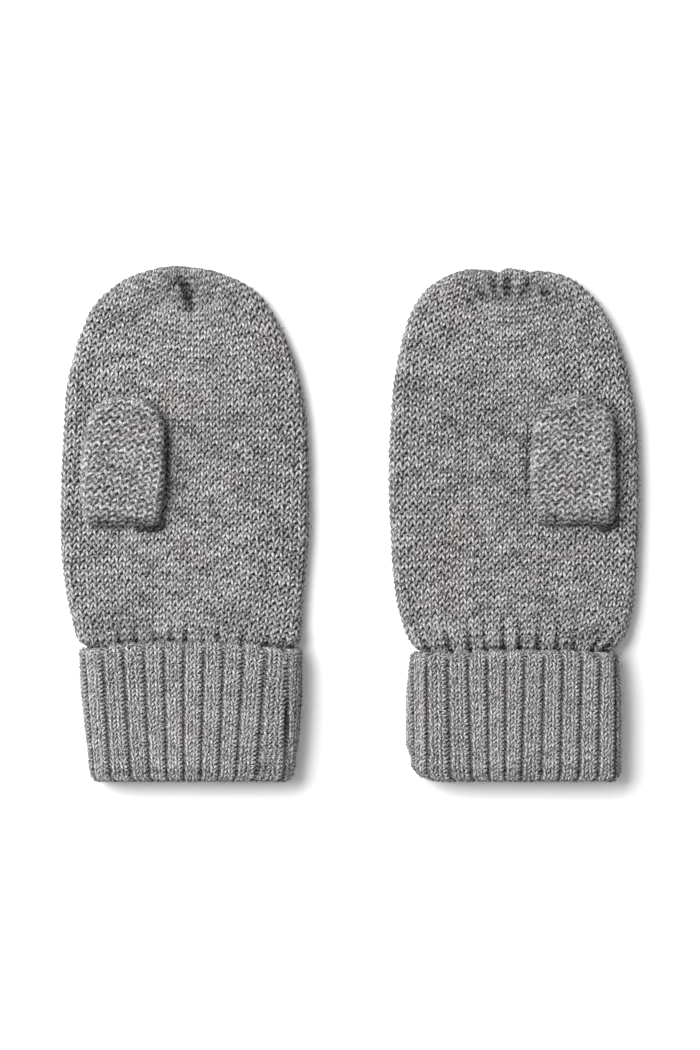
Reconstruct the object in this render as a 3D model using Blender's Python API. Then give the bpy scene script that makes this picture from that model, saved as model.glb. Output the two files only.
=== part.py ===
"""A pair of small child's mittens in plain-knitted wool, laid flat with the palms up.

Each mitten has three pieces: the hand, a knitted bag with a gathered crown; the thumb, a small
bag joined to a slit in the palm and folded flat on it; and the ribbed cuff, folded up once. The
fingers point along +Y, the cloth rests on z = 0, and the origin is under the pair's middle.
"""

from collections import namedtuple
import math

import bmesh
import bpy

MM = 0.001

# Cloth, in millimetres
WALL = 2.4
THUMB_WALL = 2.2
PANEL_GAP = 0.6
SEAM_GAP = 0.3

# Heights that the layers add up to
HAND_THICKNESS = 2 * WALL + PANEL_GAP
THUMB_THICKNESS = 2 * THUMB_WALL + PANEL_GAP
FOLDED_WALL = 2 * WALL + SEAM_GAP
CUFF_INSET = WALL + SEAM_GAP

# The hand's wrist, where it slips into the turned-up cuff
WRIST_TUCK = 1.8
WRIST_RISE_LENGTH = 8.0
GATHER_LENGTH = 7.0

# Where the hand's rings lie: up from the cuff's edge, along the palm, and down from the crown
HAND_FACE_STEPS = 22
HAND_END_STEPS = 4
WRIST_ROWS = (SEAM_GAP, 1.6, 3.2, 5.0, 7.4)
PALM_ROWS = (-25.0, -16.5, -8.0, 0.5, 9.0, 17.5, 26.0, 34.5, 43.0, 51.5, 60.0)
CROWN_ROWS = (14.5, 11.8, 9.6, 7.6, 5.8, 4.2, 2.9, 1.8, 0.9, 0.3)
HAND_INSIDE_ROWS = (-30.0, -10.0, 20.0, 45.0, 62.0, 71.0, 76.0)
CROWN_INSIDE_END = 1.4
CROWN_INSIDE_TIP = 0.4

# The thumb's root, bent from the palm's slit to lie along the palm
THUMB_BEND_RADIUS = 0.2
SLIT_HEIGHT = 0.8
SLIT_MARGIN = 3.0
SLIT_CUTTER_RISE = 1.0
THUMB_FACE_STEPS = 8
THUMB_END_STEPS = 4
THUMB_BEND_ANGLES = (0, 32, 62, 90)
THUMB_ROWS = (10.0, 17.0, 24.0, 30.0)
THUMB_TIP_ROWS = (7.6, 5.0, 3.0, 1.5, 0.4)
THUMB_INSIDE_ANGLES = (0, 45, 90)
THUMB_INSIDE_ROWS = (18.0, 29.0, 34.5)
THUMB_INSIDE_END = 1.0
THUMB_INSIDE_TIP = 0.3

# The cuff's ribs, each two knit stitches wide with a purl groove beside it
RIB_DEPTH = 0.9
RIB_STEPS = ((0.0, 1.0), (0.16, 0.15), (0.5, 0.0), (0.84, 0.15))
CUFF_UNDER_STEPS = 12
CUFF_BOTTOM = -82.4
CUFF_FACE_ROWS = (-78.6, -71.0, -54.0)
CORNER_HEIGHT = 8.0
FOLD_ROUND = 1.5
FOLD_EDGE = 0.4
EDGE_ROUND = 0.8

WOOL_GREY = (0.27, 0.265, 0.268, 1.0)
THUMB_GREY = (0.31, 0.305, 0.307, 1.0)
CUFF_GREY = (0.25, 0.245, 0.247, 1.0)
WOOL_ROUGHNESS = 0.95

# An outline's edges, measured from the mitten's own centre line, at one place along it
Station = namedtuple("Station", "y left right")

# A soft trough in the palm side: its middle, half sizes, turn in degrees and depth
Fold = namedtuple("Fold", "x y across along turn depth")

# Where a cuff's wall runs: the layer's distance from the inside, the place along the mitten, and
# how much of the rib depth it has
CuffRow = namedtuple("CuffRow", "layer y rib")

# A groove between two ribs, across from the mitten's own centre line at the cuff's two ends
Groove = namedtuple("Groove", "top bottom")

# How much higher than its ends the cuff's top edge comes, at one place across
Arch = namedtuple("Arch", "x rise")

Mitten = namedtuple(
    "Mitten",
    "side centre crown crown_x cuff_top gather hand_edges thumb_tip thumb_base thumb_edges"
    " cuff_edges cuff_arch cuff_grooves left_end_ribs right_end_ribs folds",
)

LEFT = Mitten(
    side="left",
    centre=-52.9,
    crown=82.4,
    crown_x=-1.3,
    cuff_top=-39.3,
    gather=0.45,
    hand_edges=(
        Station(-38.6, -32.6, 36.6),
        Station(-37.4, -34.0, 37.2),
        Station(-35.7, -35.0, 37.4),
        Station(-31.8, -35.9, 37.7),
        Station(-24.2, -37.8, 38.0),
        Station(-12.6, -39.4, 39.0),
        Station(-1.1, -40.0, 40.0),
        Station(14.2, -39.8, 39.9),
        Station(29.6, -39.0, 39.5),
        Station(41.1, -38.5, 38.0),
        Station(48.8, -37.2, 36.4),
        Station(56.5, -35.0, 33.8),
        Station(64.2, -32.7, 30.3),
        Station(71.8, -28.2, 25.7),
        Station(75.7, -23.6, 21.6),
        Station(78.2, -20.2, 17.6),
        Station(79.5, -17.7, 15.2),
        Station(80.8, -14.2, 11.8),
        Station(81.8, -10.6, 8.2),
        Station(82.4, -6.6, 4.2),
    ),
    thumb_tip=41.0,
    thumb_base=-0.7,
    thumb_edges=(
        Station(-0.7, -31.0, -8.2),
        Station(3.2, -32.4, -7.5),
        Station(6.6, -33.1, -6.9),
        Station(13.0, -33.3, -6.3),
        Station(22.5, -32.9, -6.0),
        Station(32.0, -31.5, -6.4),
        Station(37.0, -29.2, -8.6),
        Station(39.8, -25.4, -12.2),
        Station(41.0, -22.4, -15.4),
    ),
    cuff_edges=(
        Station(-82.4, -30.3, 34.6),
        Station(-80.9, -30.5, 35.0),
        Station(-74.1, -31.1, 36.1),
        Station(-66.4, -31.8, 37.0),
        Station(-54.9, -33.4, 37.7),
        Station(-39.3, -34.0, 37.7),
    ),
    cuff_arch=(
        Arch(-28.0, 0.0),
        Arch(-18.0, 1.7),
        Arch(-6.0, 2.3),
        Arch(8.0, 2.2),
        Arch(18.0, 1.4),
        Arch(30.0, 0.0),
    ),
    cuff_grooves=(
        Groove(-32.4, -29.2),
        Groove(-26.4, -23.5),
        Groove(-19.8, -17.0),
        Groove(-13.1, -11.0),
        Groove(-6.7, -5.6),
        Groove(-0.3, -0.2),
        Groove(6.2, 5.2),
        Groove(12.6, 10.9),
        Groove(19.0, 16.3),
        Groove(26.1, 22.7),
        Groove(33.4, 32.2),
    ),
    left_end_ribs=2,
    right_end_ribs=3,
    folds=(
        Fold(-0.1, 74.2, 1.9, 3.6, 0.0, 1.7),
        Fold(-5.0, 76.4, 1.2, 2.6, 62.0, 0.6),
        Fold(4.6, 76.2, 1.2, 2.6, -60.0, 0.6),
    ),
)

RIGHT = Mitten(
    side="right",
    centre=52.7,
    crown=81.8,
    crown_x=-3.6,
    cuff_top=-40.6,
    gather=0.7,
    hand_edges=(
        Station(-39.9, -31.7, 31.7),
        Station(-38.4, -33.0, 33.3),
        Station(-35.7, -34.5, 35.6),
        Station(-31.8, -36.1, 37.2),
        Station(-24.2, -38.0, 38.5),
        Station(-12.6, -39.3, 39.4),
        Station(-1.1, -39.9, 39.9),
        Station(10.4, -40.4, 40.2),
        Station(21.9, -40.4, 39.9),
        Station(33.4, -39.7, 39.4),
        Station(41.1, -39.3, 38.0),
        Station(48.8, -38.3, 36.6),
        Station(56.5, -36.8, 34.3),
        Station(64.2, -34.9, 31.2),
        Station(71.8, -31.3, 26.4),
        Station(74.4, -29.4, 24.0),
        Station(77.0, -26.4, 21.0),
        Station(79.5, -22.2, 17.0),
        Station(80.8, -18.2, 12.4),
        Station(81.5, -14.4, 7.0),
        Station(81.8, -11.4, 2.6),
    ),
    thumb_tip=41.6,
    thumb_base=-0.4,
    thumb_edges=(
        Station(-0.4, 9.8, 30.9),
        Station(3.4, 7.2, 31.9),
        Station(6.6, 5.4, 32.1),
        Station(13.0, 4.6, 32.2),
        Station(25.8, 5.0, 32.0),
        Station(32.0, 6.0, 31.7),
        Station(35.2, 7.2, 31.0),
        Station(38.3, 10.2, 28.8),
        Station(40.6, 14.4, 24.8),
        Station(41.6, 17.4, 21.8),
    ),
    cuff_edges=(
        Station(-82.4, -26.8, 33.9),
        Station(-81.2, -29.8, 34.2),
        Station(-78.6, -32.8, 34.3),
        Station(-72.2, -35.0, 34.3),
        Station(-50.0, -35.0, 34.3),
        Station(-43.5, -33.8, 33.7),
        Station(-40.6, -33.3, 33.0),
    ),
    cuff_arch=(
        Arch(-28.0, 0.0),
        Arch(-14.0, 0.6),
        Arch(14.0, 0.7),
        Arch(28.0, 0.0),
    ),
    cuff_grooves=(
        Groove(-33.0, -32.4),
        Groove(-28.5, -28.2),
        Groove(-21.8, -20.8),
        Groove(-15.4, -14.0),
        Groove(-9.2, -8.5),
        Groove(-3.1, -3.4),
        Groove(3.0, 1.8),
        Groove(9.1, 8.3),
        Groove(15.1, 14.2),
        Groove(21.2, 20.2),
        Groove(27.0, 26.3),
        Groove(32.2, 32.2),
    ),
    left_end_ribs=2,
    right_end_ribs=2,
    folds=(
        Fold(-8.8, 74.2, 1.5, 3.4, 10.0, 1.0),
        Fold(-2.4, 74.6, 1.6, 4.2, -4.0, 1.6),
        Fold(8.2, 74.8, 1.9, 3.4, -16.0, 1.2),
        Fold(22.5, -36.0, 1.1, 3.2, -48.0, 0.8),
        Fold(26.0, -35.2, 1.1, 3.0, -48.0, 0.7),
    ),
)


def smooth_step(value):
    """0 below 0, 1 above 1, and a soft S between them."""
    clamped = min(1.0, max(0.0, value))
    return clamped * clamped * (3.0 - 2.0 * clamped)


def read_edge(stations, name, y):
    """One edge of an outline at y, on a smooth curve through the stations that never overshoots."""
    rows = sorted(stations)
    places = [row.y for row in rows]
    values = [getattr(row, name) for row in rows]
    if y <= places[0]:
        return values[0]
    if y >= places[-1]:
        return values[-1]
    slopes = [(b - a) / (q - p) for a, b, p, q in zip(values, values[1:], places, places[1:])]
    tangents = [slopes[0]]
    for before, after in zip(slopes, slopes[1:]):
        tangents.append(0.0 if before * after <= 0 else 2 * before * after / (before + after))
    tangents.append(slopes[-1])
    k = max(i for i, place in enumerate(places[:-1]) if place <= y)
    span = places[k + 1] - places[k]
    t = (y - places[k]) / span
    return (
        (2 * t**3 - 3 * t**2 + 1) * values[k]
        + (t**3 - 2 * t**2 + t) * span * tangents[k]
        + (3 * t**2 - 2 * t**3) * values[k + 1]
        + (t**3 - t**2) * span * tangents[k + 1]
    )


def flat_tube_places(face_steps, end_steps):
    """Places round a flattened tube: left end, top, right end and underside, as (part, fraction)."""
    places = [("left", i / end_steps) for i in range(end_steps)]
    places += [("top", i / face_steps) for i in range(face_steps)]
    places += [("right", i / end_steps) for i in range(end_steps)]
    places += [("under", i / face_steps) for i in range(face_steps)]
    return places


def section_point(place, left, right, low, high):
    """A point of a flattened tube's section: flat above and below, with half-round ends."""
    part, fraction = place
    half = (high - low) / 2
    middle = (high + low) / 2
    near, far = left + half, right - half
    if part == "top":
        return near + (far - near) * fraction, high
    if part == "under":
        return far - (far - near) * fraction, low
    if part == "left":
        angle = math.radians(270 - 180 * fraction)
        return near + half * math.cos(angle), middle + half * math.sin(angle)
    angle = math.radians(90 - 180 * fraction)
    return far + half * math.cos(angle), middle + half * math.sin(angle)


def rounded_half(radius, depth):
    """Half the thickness of a rounded edge, at a depth in from the edge."""
    if depth >= radius:
        return radius
    return math.sqrt(radius**2 - (radius - max(depth, 0.0)) ** 2)


def add_object(name, vertices, faces, colour, parent):
    """A closed mesh object from millimetres, with its faces turned outwards and smooth shading."""
    mesh = bpy.data.meshes.new(name)
    mesh.from_pydata([[c * MM for c in vertex] for vertex in vertices], [], faces)
    shell = bmesh.new()
    shell.from_mesh(mesh)
    bmesh.ops.recalc_face_normals(shell, faces=shell.faces)
    shell.to_mesh(mesh)
    shell.free()
    mesh.shade_smooth()
    mesh.set_sharp_from_angle(angle=math.radians(50))
    material = bpy.data.materials.new(name + "_wool")
    material.use_nodes = True
    shader = material.node_tree.nodes["Principled BSDF"]
    shader.inputs["Base Color"].default_value = colour
    shader.inputs["Roughness"].default_value = WOOL_ROUGHNESS
    shader.inputs["Metallic"].default_value = 0.0
    mesh.materials.append(material)
    item = bpy.data.objects.new(name, mesh)
    item.parent = parent
    mittens.objects.link(item)
    return item


def bag_mesh(outer, inner, outer_tip, inner_tip):
    """A bag's wall: outer rings to their tip, inner rings to theirs, joined round the mouth."""
    count = len(outer[0])
    vertices = [point for ring in outer + inner for point in ring] + [outer_tip, inner_tip]
    faces = []

    def ring_start(index):
        return index * count

    def join(first, second):
        for i in range(count):
            j = (i + 1) % count
            faces.append((first + i, first + j, second + j, second + i))

    def close(first, tip):
        for i in range(count):
            faces.append((first + i, first + (i + 1) % count, tip))

    for index in range(len(outer) - 1):
        join(ring_start(index), ring_start(index + 1))
    close(ring_start(len(outer) - 1), len(vertices) - 2)
    for index in range(len(outer), len(outer) + len(inner) - 1):
        join(ring_start(index), ring_start(index + 1))
    close(ring_start(len(outer) + len(inner) - 1), len(vertices) - 1)
    join(ring_start(0), ring_start(len(outer)))
    return vertices, faces


def fold_sink(folds, x, y):
    """How deep the folds press the palm side in at a place."""
    sink = 0.0
    for fold in folds:
        turn = math.radians(fold.turn)
        dx, dy = x - fold.x, y - fold.y
        across = dx * math.cos(turn) + dy * math.sin(turn)
        along = dy * math.cos(turn) - dx * math.sin(turn)
        sink += fold.depth * math.exp(-((across / fold.across) ** 2) - (along / fold.along) ** 2)
    return sink


def wrist_lift(mitten, y):
    """The hand rises off the surface where it slips into the cuff's turned-up layer."""
    start = mitten.cuff_top + SEAM_GAP
    return CUFF_INSET * (1.0 - smooth_step((y - start) / WRIST_RISE_LENGTH))


def hand_object(mitten, parent):
    """The hand bag: outside with gathers at the wrist and crown, and a plain flat inside."""
    wrist_end = mitten.cuff_top - WRIST_TUCK
    tuck_ends = (mitten.cuff_top, wrist_end)
    cuff_left = max(read_edge(mitten.cuff_edges, "left", y) for y in tuck_ends) + CUFF_INSET
    cuff_right = min(read_edge(mitten.cuff_edges, "right", y) for y in tuck_ends) - CUFF_INSET
    tucked = (
        Station(wrist_end, cuff_left, cuff_right),
        Station(mitten.cuff_top + SEAM_GAP, cuff_left, cuff_right),
    )
    edges = tucked + mitten.hand_edges
    places = flat_tube_places(HAND_FACE_STEPS, HAND_END_STEPS)
    radius = HAND_THICKNESS / 2

    def outer_ring(y):
        half = rounded_half(radius, mitten.crown - y)
        middle = wrist_lift(mitten, y) + radius
        left, right = read_edge(edges, "left", y), read_edge(edges, "right", y)
        from_cuff = (y - mitten.cuff_top - SEAM_GAP) / GATHER_LENGTH
        gather = mitten.gather * math.sin(math.pi * from_cuff) if 0 < from_cuff < 1 else 0.0
        ring = []
        for index, place in enumerate(places):
            x, z = section_point(place, left, right, middle - half, middle + half)
            upper = smooth_step((z - middle) / radius)
            groove = gather if index % 2 else 0.0
            ring.append((x, y, z - upper * (groove + fold_sink(mitten.folds, x, y))))
        return ring

    def inner_ring(y):
        middle = wrist_lift(mitten, y) + radius
        shifted = y + WALL * smooth_step(y / mitten.crown)
        left = read_edge(edges, "left", shifted) + WALL
        right = read_edge(edges, "right", shifted) - WALL
        low, high = middle - PANEL_GAP / 2, middle + PANEL_GAP / 2
        return [(x, y, z) for x, z in (section_point(p, left, right, low, high) for p in places)]

    wrist_rows = [wrist_end] + [mitten.cuff_top + step for step in WRIST_ROWS]
    crown_rows = [mitten.crown - depth for depth in CROWN_ROWS]
    inner_rows = [wrist_end, mitten.cuff_top + SEAM_GAP, *HAND_INSIDE_ROWS]
    inner_rows.append(mitten.crown - WALL - CROWN_INSIDE_END)
    outer = [outer_ring(y) for y in wrist_rows + list(PALM_ROWS) + crown_rows]
    inner = [inner_ring(y) for y in inner_rows]
    outer_tip = (mitten.crown_x, mitten.crown, radius)
    inner_tip = (mitten.crown_x, mitten.crown - WALL - CROWN_INSIDE_TIP, radius)
    vertices, faces = bag_mesh(outer, inner, outer_tip, inner_tip)
    return add_object(mitten.side + "_hand", vertices, faces, WOOL_GREY, parent)


def cut_palm_slit(mitten, hand, parent):
    """The slit through the palm's wall, under the thumb's mouth."""
    left = read_edge(mitten.thumb_edges, "left", mitten.thumb_base) + SLIT_MARGIN
    right = read_edge(mitten.thumb_edges, "right", mitten.thumb_base) - SLIT_MARGIN
    floor, ceiling = HAND_THICKNESS / 2, HAND_THICKNESS + SLIT_CUTTER_RISE
    bpy.ops.mesh.primitive_cube_add(size=1.0)
    cutter = bpy.context.object
    cutter.name = mitten.side + "_slit_cutter"
    for collection in list(cutter.users_collection):
        collection.objects.unlink(cutter)
    cutters.objects.link(cutter)
    cutter.parent = parent
    middle_y = mitten.thumb_base + THUMB_THICKNESS / 2
    cutter.location = ((left + right) / 2 * MM, middle_y * MM, (floor + ceiling) / 2 * MM)
    cutter.scale = ((right - left) * MM, SLIT_HEIGHT * MM, (ceiling - floor) * MM)
    cutter.hide_render = True
    cutter.display_type = "WIRE"
    cut = hand.modifiers.new("palm_slit", "BOOLEAN")
    cut.operation = "DIFFERENCE"
    cut.object = cutter


def thumb_object(mitten, parent):
    """The thumb bag: its mouth lies over the palm's slit, and it bends to lie along the palm."""
    places = flat_tube_places(THUMB_FACE_STEPS, THUMB_END_STEPS)
    radius = THUMB_THICKNESS / 2
    root_z = HAND_THICKNESS + SEAM_GAP
    root_y = mitten.thumb_base + THUMB_BEND_RADIUS + THUMB_THICKNESS

    def bent_ring(angle, inset):
        """A ring swung about the root, from lying on the palm (0) to standing across it (90)."""
        turn = math.radians(angle)
        y = root_y - (root_y - mitten.thumb_base) * math.cos(turn)
        left = read_edge(mitten.thumb_edges, "left", y) + inset
        right = read_edge(mitten.thumb_edges, "right", y) - inset
        ring = []
        for place in places:
            x, depth = section_point(place, left, right, inset, THUMB_THICKNESS - inset)
            arm = THUMB_BEND_RADIUS + depth
            ring.append((x, root_y - arm * math.cos(turn), root_z + arm * math.sin(turn)))
        return ring

    def straight_ring(y, inset, half):
        shifted = y + inset * smooth_step(y / mitten.thumb_tip)
        left = read_edge(mitten.thumb_edges, "left", shifted) + inset
        right = read_edge(mitten.thumb_edges, "right", shifted) - inset
        middle = root_z + THUMB_BEND_RADIUS + radius
        points = (section_point(p, left, right, middle - half, middle + half) for p in places)
        return [(x, y, z) for x, z in points]

    outer = [bent_ring(angle, 0.0) for angle in THUMB_BEND_ANGLES]
    for y in THUMB_ROWS:
        outer.append(straight_ring(y, 0.0, radius))
    for depth in THUMB_TIP_ROWS:
        outer.append(straight_ring(mitten.thumb_tip - depth, 0.0, rounded_half(radius, depth)))
    inner = [bent_ring(angle, THUMB_WALL) for angle in THUMB_INSIDE_ANGLES]
    for y in (*THUMB_INSIDE_ROWS, mitten.thumb_tip - THUMB_WALL - THUMB_INSIDE_END):
        inner.append(straight_ring(y, THUMB_WALL, PANEL_GAP / 2))
    middle_x = (mitten.thumb_edges[-1].left + mitten.thumb_edges[-1].right) / 2
    tip_z = root_z + THUMB_BEND_RADIUS + radius
    outer_tip = (middle_x, mitten.thumb_tip, tip_z)
    inner_tip = (middle_x, mitten.thumb_tip - THUMB_WALL - THUMB_INSIDE_TIP, tip_z)
    vertices, faces = bag_mesh(outer, inner, outer_tip, inner_tip)
    return add_object(mitten.side + "_thumb", vertices, faces, THUMB_GREY, parent)


def groove_distance(x, near, far, half):
    """How far round a flattened tube, from its left end's underside, a place seen at x is."""
    end = math.pi * half
    if x < near:
        return end - half * math.asin(min(1.0, (near - x) / half))
    if x > far:
        return end + far - near + half * math.asin(min(1.0, (x - far) / half))
    return end + x - near


def cuff_places(mitten, y):
    """Places round the cuff with the rib depth at each: ribs on the ends and face, plain below."""
    half = FOLDED_WALL + PANEL_GAP / 2
    above_corner = max(y, CUFF_BOTTOM + CORNER_HEIGHT)
    near = read_edge(mitten.cuff_edges, "left", above_corner) + half
    far = read_edge(mitten.cuff_edges, "right", above_corner) - half
    end, face = math.pi * half, far - near
    down = (mitten.cuff_top - y) / (mitten.cuff_top - CUFF_BOTTOM)
    seen = [groove.top + (groove.bottom - groove.top) * down for groove in mitten.cuff_grooves]
    grooves = [groove_distance(x, near, far, half) for x in seen]
    shown = 2 * end + face
    before, after = mitten.left_end_ribs, mitten.right_end_ribs
    starts = [grooves[0] * i / before for i in range(before)] + grooves
    starts += [grooves[-1] + (shown - grooves[-1]) * (i + 1) / after for i in range(after)]
    places = []
    for start, following in zip(starts, starts[1:]):
        for step, depth in RIB_STEPS:
            distance = start + (following - start) * step
            if distance < end:
                place = ("left", distance / end)
            elif distance < end + face:
                place = ("top", (distance - end) / face)
            else:
                place = ("right", (distance - end - face) / end)
            places.append((place, depth))
    places += [(("under", i / CUFF_UNDER_STEPS), 0.0) for i in range(CUFF_UNDER_STEPS)]
    places[0] = (("left", 0.0), 0.0)
    return places


def arch_rise(mitten, x):
    """How much the cuff's top edge rises at x, on a soft curve through the arch's places."""
    arch = mitten.cuff_arch
    if not arch[0].x < x < arch[-1].x:
        return 0.0
    k = max(i for i, place in enumerate(arch[:-1]) if place.x <= x)
    share = smooth_step((x - arch[k].x) / (arch[k + 1].x - arch[k].x))
    return arch[k].rise + (arch[k + 1].rise - arch[k].rise) * share


def cuff_object(mitten, parent):
    """The cuff: a ribbed tube folded up once, so its wall runs down, round the fold and up."""
    top = mitten.cuff_top
    inner_top = top - WRIST_TUCK - SEAM_GAP
    outer_inside = WALL + SEAM_GAP
    fold_inside = CUFF_BOTTOM + WALL
    rows = (
        CuffRow(0.0, inner_top, 0.0),
        CuffRow(0.0, CUFF_BOTTOM + FOLD_ROUND, 0.0),
        CuffRow(FOLDED_WALL * 0.25, CUFF_BOTTOM + FOLD_EDGE, 0.0),
        CuffRow(FOLDED_WALL * 0.5, CUFF_BOTTOM, 0.0),
        CuffRow(FOLDED_WALL * 0.75, CUFF_BOTTOM + FOLD_EDGE, 0.2),
        CuffRow(FOLDED_WALL, CUFF_BOTTOM + FOLD_ROUND, 0.5),
        *(CuffRow(FOLDED_WALL, y, 1.0) for y in CUFF_FACE_ROWS),
        CuffRow(FOLDED_WALL, top - EDGE_ROUND, 1.0),
        CuffRow(FOLDED_WALL - EDGE_ROUND * 0.7, top, 0.6),
        CuffRow(outer_inside + EDGE_ROUND * 0.5, top, 0.0),
        CuffRow(outer_inside, top - EDGE_ROUND, 0.0),
        CuffRow(outer_inside, inner_top, 0.0),
        CuffRow(outer_inside, fold_inside, 0.0),
        CuffRow(WALL, fold_inside, 0.0),
        CuffRow(WALL, inner_top, 0.0),
    )
    middle = FOLDED_WALL + PANEL_GAP / 2
    vertices = []
    for row in rows:
        left = read_edge(mitten.cuff_edges, "left", row.y)
        right = read_edge(mitten.cuff_edges, "right", row.y)
        places = cuff_places(mitten, row.y)
        for place, depth in places:
            layer = row.layer - RIB_DEPTH * depth * row.rib
            inset = FOLDED_WALL - layer
            half = PANEL_GAP / 2 + layer
            x, z = section_point(place, left + inset, right - inset, middle - half, middle + half)
            raised = row.y >= top - EDGE_ROUND and z > middle
            y = row.y + (arch_rise(mitten, x) if raised else 0.0)
            vertices.append((x, y, z))
    count = len(places)
    faces = []
    for index in range(len(rows)):
        start, following = index * count, (index + 1) % len(rows) * count
        for i in range(count):
            j = (i + 1) % count
            faces.append((start + i, start + j, following + j, following + i))
    return add_object(mitten.side + "_cuff", vertices, faces, CUFF_GREY, parent)


def build_mitten(mitten):
    """One mitten, on an empty at its own centre line."""
    holder = bpy.data.objects.new(mitten.side + "_mitten", None)
    holder.location = (mitten.centre * MM, 0.0, 0.0)
    mittens.objects.link(holder)
    hand = hand_object(mitten, holder)
    cut_palm_slit(mitten, hand, holder)
    thumb_object(mitten, holder)
    cuff_object(mitten, holder)


for leftover in list(bpy.data.objects):
    bpy.data.objects.remove(leftover)
mittens = bpy.data.collections.new("pair_of_mittens")
cutters = bpy.data.collections.new("cutters")
bpy.context.scene.collection.children.link(mittens)
bpy.context.scene.collection.children.link(cutters)
for pair_member in (LEFT, RIGHT):
    build_mitten(pair_member)
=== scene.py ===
"""Looks for the pair of child's knitted mittens: the wool cloth, knitted stitch by stitch.

Lengths are in millimetres until a mesh is made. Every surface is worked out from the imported
solids: the outline of a piece is read where level cuts cross its node. A place on a hand or thumb
is (x, y) on its flat upper side, unrolled round the edge. A place on a cuff is counted in ribs
round it and in millimetres along it. Each course of knitting is one yarn that loops its way across.
"""

import math
from collections import namedtuple

import bmesh
import bpy
import numpy as np
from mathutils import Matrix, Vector


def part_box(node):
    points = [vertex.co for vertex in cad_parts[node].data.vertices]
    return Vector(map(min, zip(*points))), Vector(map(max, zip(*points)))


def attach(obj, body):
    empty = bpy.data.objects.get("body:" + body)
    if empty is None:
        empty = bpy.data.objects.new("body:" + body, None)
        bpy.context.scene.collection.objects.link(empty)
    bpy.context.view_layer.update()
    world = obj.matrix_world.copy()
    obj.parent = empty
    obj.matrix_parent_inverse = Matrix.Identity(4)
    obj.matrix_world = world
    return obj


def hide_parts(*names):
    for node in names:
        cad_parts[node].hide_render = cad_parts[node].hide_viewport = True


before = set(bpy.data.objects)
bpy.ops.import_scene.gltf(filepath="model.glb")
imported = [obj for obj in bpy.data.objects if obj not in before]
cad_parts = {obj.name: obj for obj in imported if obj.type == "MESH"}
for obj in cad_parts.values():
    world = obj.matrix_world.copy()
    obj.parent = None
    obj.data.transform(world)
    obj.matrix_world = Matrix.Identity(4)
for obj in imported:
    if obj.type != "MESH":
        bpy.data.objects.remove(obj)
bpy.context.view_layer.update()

MM = 0.001
SIDES = ("left", "right")

# The knit's sizes: the height of a course, the width of a wale on the underside and of a rib
HAND_COURSE = 2.03
BACK_WALE = 2.24
THUMB_COURSE = 2.24
CUFF_COURSE = 1.34
RIB_WIDTH = 6.05

# The yarns' half thickness, and that of a loose fibre
YARN = 0.58
THUMB_YARN = 0.72
CUFF_YARN = 0.52
FUZZ = 0.035

# A loop's lean and reach, and how far its back lies behind its front
LOOP_SHAPE = (0.37, 0.68)
THUMB_LOOP_SHAPE = (0.38, 0.70)
CUFF_LOOP_SHAPE = (0.34, 0.80)
LOOP_DEPTH = 0.50
THUMB_LOOP_DEPTH = 0.50
CUFF_LOOP_DEPTH = 0.38

# How far the yarns stand off the solids, and the grooves between ribs
LOFT = 0.22
GROOVE_DEPTH = 1.0
GROOVE_WIDTH = 0.085

# How widely the courses bend from one slope to the other
HAND_BEND_WIDTH = 9.0
THUMB_BEND_WIDTH = 5.0

# How far below a bag's tip its level cuts end, and the thumb's root
HAND_TURN_IN = 7.0
THUMB_TURN_IN = 3.0
THUMB_ROOT_RISE = 4.5
THUMB_BEND = 0.2

# How many loose fibres each mitten has
HAND_FIBRES = 850
CUFF_FIBRES = 250

# The wool's contrast between fibres, and how much painted shade darkens the yarns in folds and on rounded
# edges
FIBRE_CONTRAST = 3.4
FOLD_SHADE = 0.58
EDGE_SHADE = 0.5

# Each knit's wool: its lightness, how dark the painted shade in its depths and how bright the
# painted highlight on its crests are, and how much its bands differ
WoolLook = namedtuple("WoolLook", "name light deep_shade crest_light patchy")
HAND_WOOL = WoolLook("heather_wool", 0.71, 0.60, 0.95, 1.3)
THUMB_WOOL = WoolLook("heather_wool_thumb", 0.625, 0.48, 0.75, 1.3)
CUFF_WOOL = WoolLook("heather_wool_cuff", 0.72, 0.46, 1.05, 0.7)

# Thin cloth behind the stitches, dark with painted shade: how far back its front is, and how thick it is
SHELL_DEPTH = 1.35
SHELL_THICKNESS = 0.7
CUFF_SHELL_FRONT = 1.05
CUFF_SHELL_BACK = 1.6

# The photo's scale and the camera; places of the camera and light are in metres
PHOTO_SCALE = 0.32
PHOTO_HEIGHT = 1050
CAMERA_DISTANCE = 1500.0
CAMERA_AIM_HEIGHT = 5
CAMERA_Y = -0.00016
SENSOR = 36.0
KEY_PLACE = (-0.85, 0.5, 1.0)
KEY_SIZE = 1.2
KEY_POWER = 38
WORLD_STRENGTH = 0.45

draw = np.random.default_rng(11)


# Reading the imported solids


def node_cuts(name, axis, places):
    """The extent of a node across level cuts on an axis (0 for x, 1 for y): its least and greatest
    place on the other one, and its least and greatest height."""
    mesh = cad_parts[name].data
    points = np.zeros(len(mesh.vertices) * 3)
    mesh.vertices.foreach_get("co", points)
    points = points.reshape(-1, 3) / MM
    ends = np.zeros(len(mesh.edges) * 2, int)
    mesh.edges.foreach_get("vertices", ends)
    a, b = points[ends.reshape(-1, 2)].transpose(1, 0, 2)
    rows = []
    for place in places:
        crosses = (a[:, axis] - place) * (b[:, axis] - place) <= 0
        crosses &= np.abs(a[:, axis] - b[:, axis]) > 1e-6
        p, q = a[crosses], b[crosses]
        at = p + (q - p) * ((place - p[:, axis]) / (q[:, axis] - p[:, axis]))[:, None]
        other = at[:, 1 - axis]
        rows.append((other.min(), other.max(), at[:, 2].min(), at[:, 2].max()))
    return np.array(rows).T


def smooth_step(value):
    value = np.clip(value, 0, 1)
    return value * value * (3 - 2 * value)


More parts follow.
